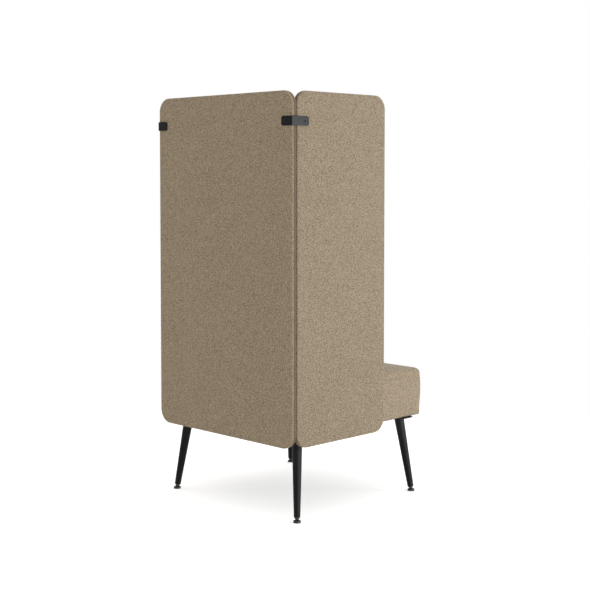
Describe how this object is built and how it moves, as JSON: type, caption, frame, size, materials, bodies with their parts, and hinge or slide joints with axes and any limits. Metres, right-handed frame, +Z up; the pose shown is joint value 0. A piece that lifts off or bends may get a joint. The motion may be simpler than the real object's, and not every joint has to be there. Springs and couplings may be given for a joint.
{
  "type": "high back privacy chair",
  "caption": "Free-standing single seat with an upholstered seat block, tall upholstered screens at the back and both sides, corner straps, and splayed tapered legs on levelling glides.",
  "frame": {"origin": "on the floor, in the middle of the overall width and depth", "axes": "+Z up, the chair looks along -Y, X = 0 is its middle plane"},
  "size_m": [0.7104, 0.7229, 1.458],
  "materials": {
    "screen_fabric": "fine heathered wool cloth",
    "seat_fabric": "fine heathered wool cloth",
    "plywood": "bare birch plywood",
    "dust_cloth": "thin black non-woven cloth",
    "black_metal": "fine black powder coat",
    "black_steel": "black zinc plated",
    "zinc_steel": "zinc plated",
    "dark_plastic": "moulded",
    "glide_plastic": "moulded"
  },
  "bodies": {
    "chair": {"back_screen_core": "plywood", "back_screen_outer_cover": "screen_fabric", "back_screen_inner_cover": "screen_fabric", "left_screen_core": "plywood", "left_screen_outer_cover": "screen_fabric", "left_screen_inner_cover": "screen_fabric", "right_screen_core": "plywood", "right_screen_outer_cover": "screen_fabric", "right_screen_inner_cover": "screen_fabric", "corner_bracket_left": "black_metal", "corner_bracket_right": "black_metal", "bracket_screw_left_back": "black_metal", "bracket_screw_left_side": "black_metal", "bracket_screw_right_back": "black_metal", "bracket_screw_right_side": "black_metal", "screen_bolt_back_left": "zinc_steel", "screen_bolt_back_middle": "zinc_steel", "screen_bolt_back_right": "zinc_steel", "screen_bolt_left_rear": "zinc_steel", "screen_bolt_left_front": "zinc_steel", "screen_bolt_right_rear": "zinc_steel", "screen_bolt_right_front": "zinc_steel", "seat_cushion": "seat_fabric", "seat_padding_front": "seat_fabric", "seat_padding_rear": "seat_fabric", "seat_padding_left": "seat_fabric", "seat_padding_right": "seat_fabric", "seat_deck": "plywood", "seat_front_rail": "plywood", "seat_rear_rail": "plywood", "seat_left_rail": "plywood", "seat_right_rail": "plywood", "seat_cross_rail": "plywood", "seat_base_board": "plywood", "dust_cover": "dust_cloth", "back_cushion": "seat_fabric", "back_cushion_board": "plywood", "fastening_strip_lower": "dust_cloth", "fastening_strip_upper": "dust_cloth", "leg_plate_front_left": "black_metal", "leg_plate_front_right": "black_metal", "leg_plate_rear_left": "black_metal", "leg_plate_rear_right": "black_metal", "leg_front_left": "black_metal", "leg_front_right": "black_metal", "leg_rear_left": "black_metal", "leg_rear_right": "black_metal", "leg_insert_front_left": "dark_plastic", "leg_insert_front_right": "dark_plastic", "leg_insert_rear_left": "dark_plastic", "leg_insert_rear_right": "dark_plastic"},
    "stud_front_left": {"glide_stud_front_left": "black_steel"},
    "stud_front_right": {"glide_stud_front_right": "black_steel"},
    "stud_rear_left": {"glide_stud_rear_left": "black_steel"},
    "stud_rear_right": {"glide_stud_rear_right": "black_steel"},
    "base_front_left": {"glide_base_front_left": "glide_plastic"},
    "base_front_right": {"glide_base_front_right": "glide_plastic"},
    "base_rear_left": {"glide_base_rear_left": "glide_plastic"},
    "base_rear_right": {"glide_base_rear_right": "glide_plastic"}
  },
  "joints": [
    {"name": "height_front_left", "type": "slide", "parent": "chair", "child": "stud_front_left", "axis": [-0.1204, -0.1204, -0.9854], "range_m": [0, 0.01]},
    {"name": "height_front_right", "type": "slide", "parent": "chair", "child": "stud_front_right", "axis": [0.1204, -0.1204, -0.9854], "range_m": [0, 0.01]},
    {"name": "height_rear_left", "type": "slide", "parent": "chair", "child": "stud_rear_left", "axis": [-0.1204, 0.1204, -0.9854], "range_m": [0, 0.01]},
    {"name": "height_rear_right", "type": "slide", "parent": "chair", "child": "stud_rear_right", "axis": [0.1204, 0.1204, -0.9854], "range_m": [0, 0.01]},
    {"name": "swivel_front_left", "type": "hinge", "parent": "stud_front_left", "child": "base_front_left", "pos_m": [-0.3205, -0.2966, 0.0068], "axis": [-0.7071, 0.7071, 0], "range_deg": [-5.2, 24.8]},
    {"name": "swivel_front_right", "type": "hinge", "parent": "stud_front_right", "child": "base_front_right", "pos_m": [0.3205, -0.2966, 0.0068], "axis": [-0.7071, -0.7071, 0], "range_deg": [-5.2, 24.8]},
    {"name": "swivel_rear_left", "type": "hinge", "parent": "stud_rear_left", "child": "base_rear_left", "pos_m": [-0.3205, 0.3034, 0.0068], "axis": [0.7071, 0.7071, 0], "range_deg": [-5.2, 24.8]},
    {"name": "swivel_rear_right", "type": "hinge", "parent": "stud_rear_right", "child": "base_rear_right", "pos_m": [0.3205, 0.3034, 0.0068], "axis": [0.7071, -0.7071, 0], "range_deg": [-5.2, 24.8]}
  ]
}
